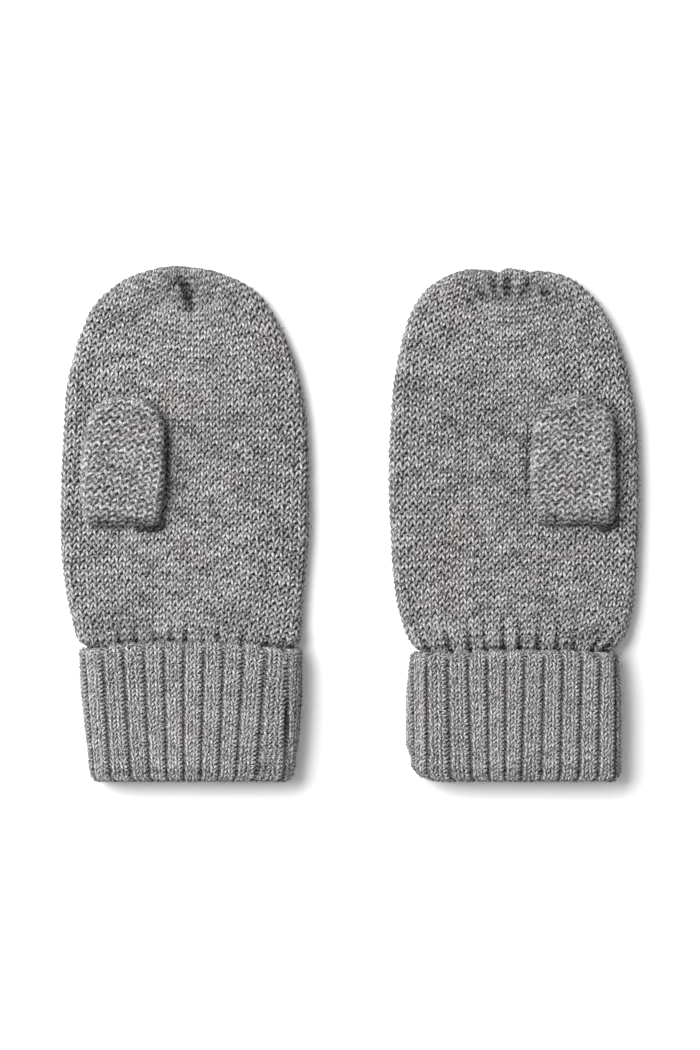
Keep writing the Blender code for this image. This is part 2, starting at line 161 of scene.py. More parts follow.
def soft_troughs(rows, x, y):
    """The depth of a set of soft troughs: rows of x, y, half width, half length, turn, depth."""
    depth = np.zeros_like(x)
    for at_x, at_y, width, length, turn, deep in rows:
        c, s = math.cos(math.radians(turn)), math.sin(math.radians(turn))
        across = (x - at_x) * c + (y - at_y) * s
        along = (y - at_y) * c - (x - at_x) * s
        depth += deep * np.exp(-((across / width) ** 2) - (along / length) ** 2)
    return depth


class Bag:
    """A flat bag's surface. A place on it is (x, y), as seen from above on its flat upper side;
    from where its edge starts to round over, the same plane is unrolled round the edge and on
    over the underside."""

    def __init__(self, name, turn_in, thick, start, taper=0.0):
        low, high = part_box(name)
        self.low_y, self.high_y = low.y / MM, high.y / MM
        self.radius = thick / 2
        side_y = np.arange(start, self.high_y - turn_in, 0.5)
        left, right, _, _ = node_cuts(name, 1, side_y)
        top_x = np.arange(left[-1] + 0.3, right[-1] - 0.2, 0.5)
        _, top_y, _, _ = node_cuts(name, 0, top_x)
        self.side_y, self.left, self.right = side_y, left, right
        lean_left, lean_right = left[0] - left[4], right[0] - right[4]
        tail_left, tail_right = left[0] + taper * lean_left, right[0] + taper * lean_right
        tail_y = side_y[0] - np.array([16.0, 6.0])
        x = [[tail_left] * 2, left, top_x, right[::-1], [tail_right] * 2]
        x = np.concatenate(x)
        y = np.concatenate([tail_y, side_y, top_y, side_y[::-1], tail_y[::-1]])
        steps = np.concatenate([[0], np.cumsum(np.hypot(np.diff(x), np.diff(y)))])
        even = np.linspace(0, steps[-1], int(steps[-1] / 0.7))
        line = np.stack([np.interp(even, steps, x), np.interp(even, steps, y)], 1)
        for _ in range(6):
            line[1:-1] = (line[:-2] + 2 * line[1:-1] + line[2:]) / 4
        tangent = np.gradient(line, axis=0)
        tangent /= np.linalg.norm(tangent, axis=1, keepdims=True)
        out = np.stack([-tangent[:, 1], tangent[:, 0]], 1)
        self.rim = line - out * self.radius

    def from_rim(self, x, y):
        """How far a place is beyond the start of the rounded edge, the rim's nearest point and
        the direction out from it."""
        q = np.stack([x, y], -1)[:, None, :]
        a, b = self.rim[:-1], self.rim[1:]
        ab = b - a
        t = np.clip(((q - a) * ab).sum(-1) / (ab * ab).sum(-1), 0, 1)
        near = a + ab * t[..., None]
        gap = ((q - near) ** 2).sum(-1)
        best = gap.argmin(1)
        row = np.arange(len(best))
        near, along = near[row, best], ab[best]
        distance = np.sqrt(gap[row, best])
        away = q[:, 0] - near
        inside = along[:, 0] * away[:, 1] - along[:, 1] * away[:, 0] < 0
        out = away / np.maximum(distance, 1e-6)[:, None]
        distance = np.where(inside, -distance, distance)
        return distance, near, out

    def section(self, x, y):
        """Where a place is seen from above, and its height above the middle of the bag."""
        distance, near, out = self.from_rim(x, y)
        turn = np.clip(distance / self.radius, 0, math.pi)
        under = np.maximum(distance - math.pi * self.radius, 0)
        reach = self.radius * np.sin(turn) - under
        flat = distance <= 0
        seen_x = np.where(flat, x, near[:, 0] + out[:, 0] * reach)
        seen_y = np.where(flat, y, near[:, 1] + out[:, 1] * reach)
        return seen_x, seen_y, self.radius * np.cos(turn)

    def width_at(self, y):
        """The outline's left and right at y."""
        left = float(np.interp(y, self.side_y, self.left))
        right = float(np.interp(y, self.side_y, self.right))
        if y > self.side_y[-1]:
            share = (self.high_y - y) / (self.high_y - self.side_y[-1])
            middle, half = (left + right) / 2, (right - left) / 2 * math.sqrt(max(share, 0))
            left, right = middle - half, middle + half
        return left, right

    def fold_depth(self, seen_x, seen_y):
        return np.zeros_like(seen_x)

    def frames(self, x, y):
        """Places with their outward normals, and how deep in a fold they lie."""
        d = 0.06
        n = len(x)
        all_x = np.concatenate([x, x + d, x - d, x, x])
        all_y = np.concatenate([y, y, y, y + d, y - d])
        section = self.section(all_x, all_y)
        p = self.place(*section).reshape(5, n, 3)
        normal = np.cross(p[1] - p[2], p[3] - p[4])
        normal /= np.maximum(np.linalg.norm(normal, axis=-1, keepdims=True), 1e-9)
        normal[(section[2][:n] < -0.5 * self.radius) & (normal[:, 2] > 0)] *= -1
        return p[0], normal, self.fold_depth(p[0, :, 0], p[0, :, 1])


class Hand(Bag):
    """The hand, with its crown's folds, the waves of its palm and its wrist's gathers."""

    def __init__(self, side, cuff):
        name = side + "_hand"
        _, _, low, high = node_cuts(name, 1, np.array([0.0, 10.0]))
        thick = float(high[0] - low[0])
        super().__init__(name, HAND_TURN_IN, thick, cuff.top + 0.35, taper=3.0)
        _, _, low, high = node_cuts(name, 1, self.side_y)
        self.middle_line = (low + high) / 2
        self.side = side
        self.cuff = cuff
        self.centre = float(np.interp(0.0, self.side_y, (self.left + self.right) / 2))

    def fold_depth(self, seen_x, seen_y):
        local = seen_x - self.centre
        sink = soft_troughs(CROWN_FOLDS[self.side], local, seen_y)
        sink += soft_troughs(PALM_WAVES[self.side], local, seen_y)
        up = seen_y - self.cuff.edge_y(seen_x)
        reach, deep, valley = WRIST_GATHER[self.side]
        gather = deep * smooth_step(1 - up / reach)
        for at, lean, share in WRIST_PLEATS[self.side]:
            sink += share * gather * np.exp(-(((local - at - lean * up) / 0.75) ** 2))
        return sink + valley * np.exp(-((up / 2.2) ** 2))

    def place(self, seen_x, seen_y, height):
        middle = np.interp(seen_y, self.side_y, self.middle_line)
        upper = smooth_step(height / self.radius / 0.6)
        sink = self.fold_depth(seen_x, seen_y)
        local = seen_x - self.centre
        for at, deep, width in CROWN_NOTCHES[self.side]:
            fall = smooth_step((seen_y - self.high_y + 7) / 7)
            seen_y = seen_y - deep * fall * np.exp(-(((local - at) / width) ** 2))
        return np.stack([seen_x, seen_y, middle + height - upper * sink], -1)


class Thumb(Bag):
    """The thumb, bent at its root to stand on the palm."""

    def __init__(self, side):
        name = side + "_thumb"
        low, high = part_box(name)
        self.bend = THUMB_BEND
        self.thick = (high.z - low.z) / MM - self.bend
        super().__init__(name, THUMB_TURN_IN, self.thick, low.y / MM + THUMB_ROOT_RISE)
        self.root_z = low.z / MM
        self.root_y = self.low_y + self.bend + self.thick
        self.centre = (low.x + high.x) / 2 / MM
        self.start = self.root_y - (self.bend + self.thick) * math.pi / 2

    def fold_depth(self, seen_x, seen_y):
        return 0.55 * np.exp(-(((seen_y - self.low_y) / 2.4) ** 2))

    def place(self, seen_x, seen_y, height):
        arm = self.bend + self.radius + height
        turn = np.clip((self.root_y - seen_y) / (self.bend + self.thick), 0, math.pi / 2)
        below = seen_y < self.root_y
        upper = smooth_step(height / self.radius)
        z = self.root_z + arm * np.cos(turn) - upper * self.fold_depth(seen_x, seen_y)
        return np.stack([seen_x, np.where(below, self.root_y - arm * np.sin(turn), seen_y), z], -1)


class Cuff:
    """The cuff's wall, from behind its top edge, down the outside, round the fold, up inside.
    A place on it is counted in ribs round it, from the first groove on its face, and along."""

    def __init__(self, side):
        name = side + "_cuff"
        low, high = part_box(name)
        self.side = side
        self.middle = (low.z + high.z) / 2 / MM
        self.half = (high.z - low.z) / 2 / MM
        self.bottom = low.y / MM
        self.across = np.linspace(low.x / MM + 0.05, high.x / MM - 0.05, 160)
        self.foot, self.edge, _, _ = node_cuts(name, 0, self.across)
        self.top = float(np.percentile(self.edge, 15))
        self.side_y = np.linspace(self.bottom + 6, self.top - 0.6, 100)
        self.left, self.right, _, _ = node_cuts(name, 1, self.side_y)
        self.centre = HAND_CENTRES[side]
        self.wall = self.half - 0.3
        lip, fold = 1.5, self.wall / 2
        path = []
        for angle in np.linspace(150, 0, 9):
            turn = math.radians(angle)
            path.append((self.wall - lip + lip * math.cos(turn), self.top - lip + lip * math.sin(turn)))
        for y in np.linspace(self.top - lip, self.bottom + fold, 24)[1:]:
            path.append((self.wall, y))
        for angle in np.linspace(0, 180, 13)[1:]:
            turn = math.radians(angle)
            path.append((fold + fold * math.cos(turn), self.bottom + fold - fold * math.sin(turn)))
        path.append((0.0, self.bottom + fold + 5))
        self.layer_at, self.y_at = np.array(path).T
        steps = np.hypot(np.diff(self.layer_at), np.diff(self.y_at))
        self.along_at = np.concatenate([[0], np.cumsum(steps)])
        self.length = self.along_at[-1]
        self.grooves = np.array(CUFF_GROOVES[side])
        self.face_ribs = len(self.grooves) - 1
        around = self.right - self.left - 2 * self.half
        around = float(np.mean(2 * around + 2 * math.pi * self.half))
        face = self.grooves.mean(1)
        self.hidden_ribs = round((around - face[-1] + face[0] - 5) / RIB_WIDTH)
        self.ribs = self.face_ribs + self.hidden_ribs

    def edge_y(self, x):
        """How high the cuff's top edge comes at x."""
        aside = np.abs(x - self.centre) / (self.across[-1] - self.across[0]) * 2
        edge = np.maximum(np.interp(x, self.across, self.edge), self.top)
        return edge - 1.2 * np.minimum(aside, 1.1) ** 6

    def corner_rise(self, x, y):
        """How much higher a place near the fold lies where the bottom corners round off."""
        rise = np.interp(x, self.across, self.foot) - self.bottom
        return np.minimum(rise, 4) * np.clip(1 - (y - self.bottom) / 18, 0, 1) ** 2

    def outline(self, y, inset):
        return (
            np.interp(y, self.side_y, self.left) + inset,
            np.interp(y, self.side_y, self.right) - inset,
        )

    def groove_shares(self, y):
        """How far round the outer layer each groove of the face is, from the middle of its top."""
        share = np.clip((self.top - y) / (self.top - self.bottom), 0, 1)[:, None]
        x = self.centre + self.grooves[:, 0] + (self.grooves[:, 1] - self.grooves[:, 0]) * share
        y = np.clip(y, self.bottom + 4, self.top - 2)
        left, right = self.outline(y, 0.0)
        local = x - ((left + right) / 2)[:, None]
        flat = ((right - left) / 2 - self.half)[:, None]
        beyond = np.clip((np.abs(local) - flat) / self.half, 0, 0.97)
        turned = np.sign(local) * (flat + self.half * np.arcsin(beyond))
        around = 4 * flat + 2 * math.pi * self.half
        return np.where(np.abs(local) <= flat, local, turned) / around

    def fold_depth(self, x, y):
        return soft_troughs(CUFF_WAVES[self.side], x - self.centre, y)

    def point(self, ribs, along):
        layer = np.interp(along, self.along_at, self.layer_at)
        y = np.interp(along, self.along_at, self.y_at)
        inset = self.wall - layer
        left, right = self.outline(y, inset)
        half = 0.3 + layer
        flat = (right - left) / 2 - half
        around = 4 * flat + 2 * math.pi * half
        grooves = self.groove_shares(y) * around[:, None]
        k = np.mod(ribs, self.ribs)
        first = np.clip(np.floor(k).astype(int), 0, self.face_ribs - 1)
        row = np.arange(len(k))
        on_face = grooves[row, first] + (grooves[row, first + 1] - grooves[row, first]) * (k - first)
        rest = around - grooves[:, -1] + grooves[:, 0]
        beyond = grooves[:, -1] + rest * (k - self.face_ribs) / self.hidden_ribs
        across = np.where(k <= self.face_ribs, on_face, beyond)
        across = np.where(across > around / 2, across - around, across)
        sign = np.sign(across)
        over = np.abs(across) - flat
        turn = np.clip(over / half, 0, math.pi)
        under = np.maximum(over - math.pi * half, 0)
        x = (left + right) / 2 + sign * (np.minimum(np.abs(across), flat) - under + half * np.sin(turn))
        z = self.middle + half * np.cos(turn)
        upper = smooth_step((z - self.middle) / self.half)
        near_top = np.clip(1 - (self.top - y) / 16, 0, 1)
        between = np.exp(-(((k - np.round(k)) / 0.17) ** 2)) * np.clip(1 - (self.top - y) / 3, 0, 1)
        rise = near_top * (self.edge_y(x) - self.top) + 0.25 - 0.9 * between
        y = y + upper * rise + self.corner_rise(x, y)
        return np.stack([x, y, z - upper * self.fold_depth(x, y)], -1)

    def frames(self, ribs, along):
        d = 0.04
        low, high = np.maximum(along - d, 0), np.minimum(along + d, self.length)
        p = self.point(ribs, along)
        u = self.point(ribs + d, along) - self.point(ribs - d, along)
        v = self.point(ribs, high) - self.point(ribs, low)
        n = np.cross(v, u)
        n /= np.maximum(np.linalg.norm(n, axis=-1, keepdims=True), 1e-9)
        return p, n, self.fold_depth(p[:, 0], p[:, 1])


# Folds of the cloth, in each mitten's own millimetres; a fold's depth also darkens the yarns in it with
# painted shade

HAND_CENTRES = {"left": -52.9, "right": 52.7}
CROWN_POLES = {"left": (0.6, 73.0), "right": (-2.4, 74.2)}

# The layout of a hand's knit. Level: the height of a course on the palm. Spread: how far apart its
# loops are. Left, right: the slopes that it rises with on both sides of the turn, across
KNIT_LAYOUT = {
    "left": (
        (-44.0, 0.84, 0.04, -0.17, -1.0),
        (-29.0, 0.95, 0.04, -0.17, -1.0),
        (-14.0, 1.00, 0.04, -0.14, -3.0),
        (10.0, 1.00, 0.00, -0.09, 0.0),
        (26.0, 1.00, -0.03, -0.05, 3.0),
        (40.0, 1.00, -0.07, 0.08, 6.5),
        (47.5, 0.99, -0.13, 0.14, 6.5),
        (55.0, 0.95, -0.16, 0.17, 6.0),
        (63.0, 0.89, -0.25, 0.27, 4.0),
        (71.0, 0.81, -0.38, 0.38, 1.5),
        (80.0, 0.74, -0.45, 0.45, 0.6),
    ),
    "right": (
        (-44.0, 0.84, 0.12, -0.06, -3.0),
        (-29.0, 0.95, 0.12, -0.06, -3.0),
        (-14.0, 1.00, 0.09, -0.08, -0.5),
        (1.0, 1.00, 0.04, -0.02, -2.0),
        (16.0, 1.00, -0.05, 0.05, -6.0),
        (32.0, 1.00, -0.16, 0.09, -7.0),
        (40.0, 1.00, -0.24, 0.13, -7.0),
        (47.5, 0.99, -0.29, 0.20, -6.5),
        (55.0, 0.95, -0.34, 0.24, -5.0),
        (63.0, 0.89, -0.42, 0.29, -1.0),
        (71.0, 0.81, -0.46, 0.36, -1.0),
        (80.0, 0.74, -0.50, 0.42, -2.4),
    ),
}
# The width of the middle wales, how far out they are about half as wide again, and their lean to
# the right
WALES = {"left": (2.14, 44.0, 0.035), "right": (2.28, 80.0, 0.03)}

# The same for the thumbs, whose courses keep one slope on each side
THUMB_LAYOUT = {
    "left": ((0.0, 1.0, 0.06, -0.36, -1.0), (80.0, 1.0, 0.06, -0.36, -1.0)),
    "right": ((0.0, 1.0, 0.14, -0.30, 0.0), (80.0, 1.0, 0.14, -0.30, 0.0)),
}
THUMB_WALES = {"left": (2.88, 200.0, 0.14), "right": (2.88, 200.0, 0.05)}

# Soft troughs in the cloth: x, y, half width, half length, turn in degrees, depth
CROWN_FOLDS = {
    "left": (
        (1.0, 73.6, 1.7, 4.4, 6, 1.6),
        (-0.4, 75.6, 5.0, 4.6, 0, 0.5),
        (0.6, 75.0, 22.0, 10.0, 0, 0.42),
        (-1.4, 78.6, 1.3, 2.6, 20, 0.8),
        (2.2, 69.6, 1.2, 1.8, 24, 0.5),
        (-4.2, 75.6, 1.0, 2.6, -35, 0.6),
        (4.2, 76.4, 1.0, 2.6, -28, 0.5),
        (-6.0, 71.8, 0.9, 2.8, -62, 0.3),
        (6.0, 71.6, 0.9, 2.8, 60, 0.3),
    ),
    "right": (
        (-1.5, 74.4, 13.0, 3.6, 0, 0.5),
        (-1.5, 75.0, 22.0, 10.0, 0, 0.2),
        (-13.4, 70.2, 1.5, 3.2, 48, 0.8),
        (-10.2, 73.4, 1.4, 3.0, 38, 1.1),
        (-6.6, 76.4, 1.3, 2.6, 14, 0.9),
        (-2.1, 75.8, 1.5, 3.4, -4, 1.1),
        (-4.6, 71.8, 1.3, 2.2, 30, 0.7),
        (2.2, 72.6, 1.2, 2.4, -20, 0.6),
        (4.6, 76.0, 1.5, 2.8, 12, 0.9),
        (10.0, 74.0, 1.4, 2.8, 42, 1.0),
        (13.8, 70.8, 1.2, 2.6, -52, 0.5),
    ),
}
PALM_WAVES = {
    "left": (
        (-22, -33, 10, 3.5, 6, 0.4),
        (16, -32, 12, 3.0, -6, 0.3),
        (12, 30, 26, 12, 20, 0.3),
        (-5.6, 21, 0.8, 15, 0, 0.6),
        (-20, 0.2, 13, 0.9, 0, 0.5),
    ),
    "right": (
        (21.5, -36.0, 1.0, 3.4, -46, 0.9),
        (25.0, -34.8, 1.0, 3.4, -46, 0.9),
        (17.4, -37.0, 1.0, 2.6, -34, 0.6),
        (-12, 34, 24, 10, -18, 0.3),
        (4.4, 19, 1.1, 16, 0, 0.5),
        (32.8, 20, 0.8, 14, 0, 0.35),
        (18.5, 0.3, 13, 0.9, 0, 0.5),
    ),
}
# Where a crown's edge dips, by how much and how widely
CROWN_NOTCHES = {
    "left": ((-3.4, -0.6, 5.0), (15.0, 0.5, 7.0)),
    "right": ((-15.5, -0.5, 4.0), (-5.4, 1.0, 1.5), (-1.6, -0.5, 1.8), (5.2, 0.5, 1.5)),
}

# The wrist's gathers: how far up they reach, their depth and the depth along the cuff's edge, and
# each one's place, its lean and its share of the depth
WRIST_GATHER = {"left": (8.0, 0.9, 0.85), "right": (13.0, 1.1, 0.75)}
WRIST_PLEATS = {
    "left": (
        (-27.4, -0.10, 0.6),
        (-20.7, -0.08, 0.9),
        (-15.6, -0.05, 1.0),
        (-9.4, -0.30, 0.6),
        (-4.4, 0.0, 0.9),
        (0.4, 0.0, 1.0),
        (5.6, 0.10, 0.5),
        (10.6, 0.05, 1.0),
        (18.2, 0.10, 0.9),
        (25.8, 0.20, 1.0),
        (30.6, 0.30, 0.8),
    ),
    "right": (
        (-27.4, -0.50, 0.8),
        (-20.6, -0.25, 0.9),
        (-14.4, -0.12, 1.0),
        (-9.4, -0.06, 0.8),
        (-3.6, 0.0, 1.0),
        (1.4, 0.0, 1.1),
        (7.4, 0.03, 1.0),
        (13.4, 0.05, 0.9),
        (18.6, 0.12, 0.8),
        (24.2, 0.65, 1.1),
        (28.2, 0.75, 0.9),
    ),
}

# The grooves between the cuffs' ribs, across from the mitten's middle at the top and the bottom
CUFF_GROOVES = {
    "left": (
        (-32.4, -29.2),
        (-26.4, -23.5),
        (-19.8, -17.0),
        (-13.1, -11.0),
        (-6.7, -5.6),
        (-0.3, -0.2),
        (6.2, 5.2),
        (12.6, 10.9),
        (19.0, 16.3),
        (26.1, 22.7),
        (33.4, 32.2),
    ),
    "right": (
        (-33.0, -32.4),
        (-28.5, -28.2),
        (-21.8, -20.8),
        (-15.4, -14.0),
        (-9.2, -8.5),
        (-3.1, -3.4),
        (3.0, 1.8),
        (9.1, 8.3),
        (15.1, 14.2),
        (21.2, 20.2),
        (27.0, 26.3),
        (32.2, 32.2),
    ),
}

# Soft troughs in the cuffs, with the crowns' columns
CUFF_WAVES = {
    "left": ((32.9, -60, 0.6, 22, 3, 1.0), (0, -79.4, 45, 1.1, 0, 0.6)),
    "right": ((0, -79.4, 45, 1.1, 0, 0.6), (-31.6, -58, 1.4, 22, 0, 0.6)),
}


# Yarn


class Yarns:
    """Collects yarns as tubes, for one mesh. A vertex knows how far along its yarn it is and where
    round it, for the fibres in the material, and how much painted shade darkens its colour."""

    def __init__(self, sides):
        self.sides = sides
        self.points, self.runs, self.arounds, self.faces, self.maps = [], [], [], [], []
        self.painted_shades = []
        self.count = 0
        self.yarns = 0

    def add(self, centres, normals, wide, deep, depth):
        """A tube along centres. wide and deep are its half sizes across and along the normals,
        and depth is how much painted shade darkens its colour."""
        n = len(centres)
        tangents = np.gradient(centres, axis=0)
        tangents /= np.maximum(np.linalg.norm(tangents, axis=1, keepdims=True), 1e-9)
        across = np.cross(tangents, normals)
        across /= np.maximum(np.linalg.norm(across, axis=1, keepdims=True), 1e-9)
        out = np.cross(across, tangents)
        angle = 2 * math.pi * (np.arange(self.sides) + 0.5) / self.sides
        c, s = np.cos(angle), np.sin(angle)
        ring = (
            centres[:, None, :]
            + across[:, None, :] * (c[None, :] * wide[:, None])[..., None]
            + out[:, None, :] * (s[None, :] * deep[:, None])[..., None]
        )
        steps = np.linalg.norm(np.diff(centres, axis=0), axis=1)
        run = np.concatenate([[0], np.cumsum(steps)])
        seed = draw.uniform(0, 100)
        self.points.append(ring.reshape(-1, 3))
        self.runs.append(np.repeat(run + seed * 7.0, self.sides))
        around = np.stack([np.tile(c, n), np.tile(s, n), np.full(n * self.sides, seed)], 1)
        self.arounds.append(around)
        self.painted_shades.append(np.repeat(depth, self.sides))
        i = np.arange(n - 1)[:, None] * self.sides
        j = np.arange(self.sides)[None, :]
        k = (j + 1) % self.sides
        quads = np.stack([i + j, i + k, i + self.sides + k, i + self.sides + j], -1)
        self.faces.append(quads.reshape(-1, 4) + self.count)
        u = np.stack([i, i, i + self.sides, i + self.sides], -1) / self.sides
        u = np.broadcast_to(u, (n - 1, self.sides, 4)) / max(n - 1, 1)
        w = np.broadcast_to(np.stack([j, j + 1, j + 1, j], -1) / self.sides, (n - 1, self.sides, 4))
        self.maps.append(np.stack([u, (w * 0.96 + 0.02 + self.yarns)], -1).reshape(-1, 2))
        self.count += n * self.sides
        self.yarns += 1

    def build(self, name, material):
        points = np.concatenate(self.points) * MM
        faces = np.concatenate(self.faces)
        mesh = bpy.data.meshes.new(name)
        mesh.vertices.add(len(points))
        mesh.vertices.foreach_set("co", points.astype(np.float32).ravel())
        mesh.loops.add(faces.size)
        mesh.loops.foreach_set("vertex_index", faces.astype(np.int32).ravel())
        mesh.polygons.add(len(faces))
        mesh.polygons.foreach_set("loop_start", np.arange(0, faces.size, 4, dtype=np.int32))
        mesh.polygons.foreach_set("use_smooth", np.ones(len(faces), bool))
        run = mesh.attributes.new("yarn_run", "FLOAT", "POINT")
        run.data.foreach_set("value", np.concatenate(self.runs).astype(np.float32))
        around = mesh.attributes.new("yarn_around", "FLOAT_VECTOR", "POINT")
        around.data.foreach_set("vector", np.concatenate(self.arounds).astype(np.float32).ravel())
        depth = mesh.attributes.new("yarn_painted_shade", "FLOAT", "POINT")
        depth.data.foreach_set("value", np.concatenate(self.painted_shades).astype(np.float32))
        layout = np.concatenate(self.maps)
        layout[:, 1] /= self.yarns
        mesh.uv_layers.new(name="OFBake").uv.foreach_set("vector", layout.astype(np.float32).ravel())
        mesh.update(calc_edges=True)
        mesh.validate()
        mesh.materials.append(material)
        item = bpy.data.objects.new(name, mesh)
        bpy.context.scene.collection.objects.link(item)
        return item


def loop_path(steps, shape):
    """One knitted loop over 0..1: across in wales, along in courses, and height from -1 (back) to
    1 (front). The legs lean in towards the fingertips, which is a guess."""
    lean, reach = shape
    t = 2 * math.pi * np.arange(steps) / steps
    across = t / (2 * math.pi) - 0.5 + lean * np.sin(2 * t)
    along = reach * np.cos(t)
    height = -np.cos(2 * t)
    return across, along, height


def loop_places(middles, widths, course, steps, shape=LOOP_SHAPE):
    """The loops' paths across and along, with the unevenness of real knitting."""
    across, up, height = loop_path(steps, shape)
    count = len(middles)
    jitter = draw.normal(0, 1, (3, count, 1))
    a = middles[:, None] + widths[:, None] * (across[None, :] + 0.05 * jitter[0])
    b = course * (up[None, :] * (1 + 0.10 * jitter[1]) + 0.07 * jitter[2])
    return a.reshape(-1), b.reshape(-1), np.tile(height, count)


def lay_yarn(surface, yarns, a, b, height, radius, depth, sink=None):
    """A yarn whose front lies on the surface, and which dips behind it by the loops' height."""
    knots = np.arange(0, len(a) + 8, 8)
    wander = np.interp(np.arange(len(a)), knots, draw.normal(0, 1, len(knots)))
    wide = radius * (0.95 + 0.07 * height + 0.06 * wander)
    drop = radius + depth * (1 - height) - LOFT
    if sink is not None:
        drop = drop + sink(a, b)
    places, normals, fold = surface.frames(a, b)
    # Painted shade: how much the yarn's colour is darkened, from how deep it dips behind the cloth's
    # front, how deep in a fold or trough it lies and how far its surface turns from facing up
    shade = drop - radius + LOFT + FOLD_SHADE * fold + EDGE_SHADE * (1 - np.abs(normals[:, 2]))
    yarns.add(places - normals * drop[:, None], normals, wide, wide * 0.95, shade)


class Lattice:
    """The layout of a bag's knit: where the loops of its wales and courses lie."""

    def __init__(self, rows, wales, centre, pole, bend_width):
        self.rows = np.array(rows)
        self.width, self.swell, self.lean = wales
        self.centre = centre
        self.pole_x, self.pole_y = pole
        self.bend_width = bend_width

    def place(self, wale, level):
        """The place of a wale, counted from the middle one, on the course at a level."""
        spread, left, right, turn = (np.interp(level, self.rows[:, 0], c) for c in self.rows[:, 1:].T)
        out = self.swell * np.sinh(wale * self.width / self.swell) * spread
        x = self.centre + self.pole_x + self.lean * (level - self.pole_y) + out
        beyond = (x - self.centre - turn) / self.bend_width
        rise = self.bend_width * np.log(np.cosh(beyond))
        return x, level + rise * np.where(beyond > 0, right, -left)


def knit_rows(bag, lattice, yarns, levels, radius, depth, steps, shape, hidden=None):
    """The courses of a bag's upper side and of the edge round it, at levels from the tip down."""
    wales = np.arange(-36, 37)
    for level, below in zip(levels, levels[1:]):
        x, y = lattice.place(wales, np.full(len(wales), level))
        distance, _, _ = bag.from_rim(x, y)
        shown = distance < math.pi * bag.radius * 0.96
        if hidden is not None:
            shown &= ~hidden(x, y)
        shown = np.flatnonzero(shown)
        for run in np.split(shown, np.flatnonzero(np.diff(shown) > 1) + 1):
            if len(run) < 2:
                continue
            a, up, height = loop_places(
                wales[run], np.ones(len(run)), level - below, steps, shape
            )
            x, y = lattice.place(a, level + up)
            lay_yarn(bag, yarns, x, y, height, radius, depth)


def knit_hand(side, hand, hidden):
    """The hand's courses: the palm side with both edges, and the underside."""
    palm, under = Yarns(5), Yarns(4)
    lattice = Lattice(
        KNIT_LAYOUT[side], WALES[side], hand.centre, CROWN_POLES[side], HAND_BEND_WIDTH
    )
    levels = [hand.high_y + 7.0]
    while levels[-1] > hand.cuff.top - 1.5:
        low_down = smooth_step((30 - levels[-1]) / 40)
        levels.append(levels[-1] - HAND_COURSE + 0.05 - 0.11 * low_down)
    knit_rows(hand, lattice, palm, levels, YARN, LOOP_DEPTH, 8, LOOP_SHAPE, hidden)
    for y in np.arange(hand.high_y - 2 * hand.radius, hand.cuff.top - 2, -HAND_COURSE):
        left, right = hand.width_at(y)
        loops = max(2, round((right - left - 2 * hand.radius) / BACK_WALE))
        wale = (right - left - 2 * hand.radius) / loops
        middles = left + hand.radius + wale * (np.arange(loops) + 0.5)
        a, b, height = loop_places(middles, np.full(loops, wale), HAND_COURSE, 4)
        lay_yarn(Underside(hand), under, a, y + b, height, YARN, LOOP_DEPTH)
    return palm, under


class Underside:
    """The flat underside of a bag, seen from above."""

    def __init__(self, bag):
        self.bag = bag

    def frames(self, x, y):
        middle = np.interp(y, self.bag.side_y, self.bag.middle_line)
        down = np.zeros((len(x), 3))
        down[:, 2] = -1
        return np.stack([x, y, middle - self.bag.radius], -1), down, 0.0


def knit_thumb(side, thumb):
    """The thumb's courses over its upper side and round both edges."""
    yarns = Yarns(6)
    pole = (0.0, thumb.high_y - 20)
    lattice = Lattice(
        THUMB_LAYOUT[side], THUMB_WALES[side], thumb.centre, pole, THUMB_BEND_WIDTH
    )
    levels = np.arange(thumb.high_y + 5.0, thumb.start - 1.0, -THUMB_COURSE)
    knit_rows(thumb, lattice, yarns, levels, THUMB_YARN, THUMB_LOOP_DEPTH, 10, THUMB_LOOP_SHAPE)
    return yarns


def rib_sink(ribs, along):
    """How far the cloth dips between the ribs."""
    apart = np.abs(ribs - np.round(ribs))
    shown = smooth_step((along - 3.0) / 4.0)
    groove = GROOVE_DEPTH * np.exp(-((apart / GROOVE_WIDTH) ** 2)) * (0.3 + 0.7 * shown)
    return groove + 0.6 * np.clip(0.25 - apart, 0, 0.25)


def knit_cuff(cuff):
    """The cuff's courses: two knit loops on each rib and a purl loop in each groove."""
    face, under = Yarns(5), Yarns(4)
    in_rib = np.array([0.0, 0.31, 0.69])
    wide_in_rib = np.array([0.24, 0.38, 0.38])
    purl = np.array([-1.0, 1.0, 1.0])
    courses = int((cuff.length - 1) / CUFF_COURSE)
    before = round(math.pi * cuff.half / RIB_WIDTH * 0.9)
    shown = cuff.face_ribs + before
    for j in range(courses):
        along = 0.6 + j * CUFF_COURSE
        parts = ((face, -before, shown, 8), (under, shown, cuff.ribs - before, 4))
        for yarns, first, last, steps in parts:
            ribs = (np.arange(first, last)[:, None] + in_rib[None, :]).ravel()
            widths = np.tile(wide_in_rib, last - first)
            a, b, height = loop_places(ribs, widths, CUFF_COURSE, steps, CUFF_LOOP_SHAPE)
            height = height * np.repeat(np.tile(purl, last - first), steps)
            lay_yarn(cuff, yarns, a, along + b, height, CUFF_YARN, CUFF_LOOP_DEPTH, rib_sink)
    return face, under


def add_fuzz(surface, fuzz, a, b):
    """Loose fibres that stand off the cloth at given places."""
    places, normals, _ = surface.frames(a, b)
    upper = normals[:, 2] > -0.2
    places, normals = places[upper], normals[upper]
    aside = draw.normal(0, 1, places.shape)
    aside -= normals * (aside * normals).sum(-1, keepdims=True)
    aside /= np.linalg.norm(aside, axis=-1, keepdims=True)
    reach = draw.uniform(0.5, 1.7, len(places))
    for place, out, side, length in zip(places, normals, aside, reach):
        path = [place - 0.2 * out, place + length * (0.5 * out + 0.3 * side)]
        path.append(place + length * (0.7 * out + 0.8 * side))
        size = np.array([FUZZ, FUZZ, FUZZ * 0.4])
        fuzz.add(np.array(path), np.tile(side, (3, 1)), size, size, np.zeros(3))


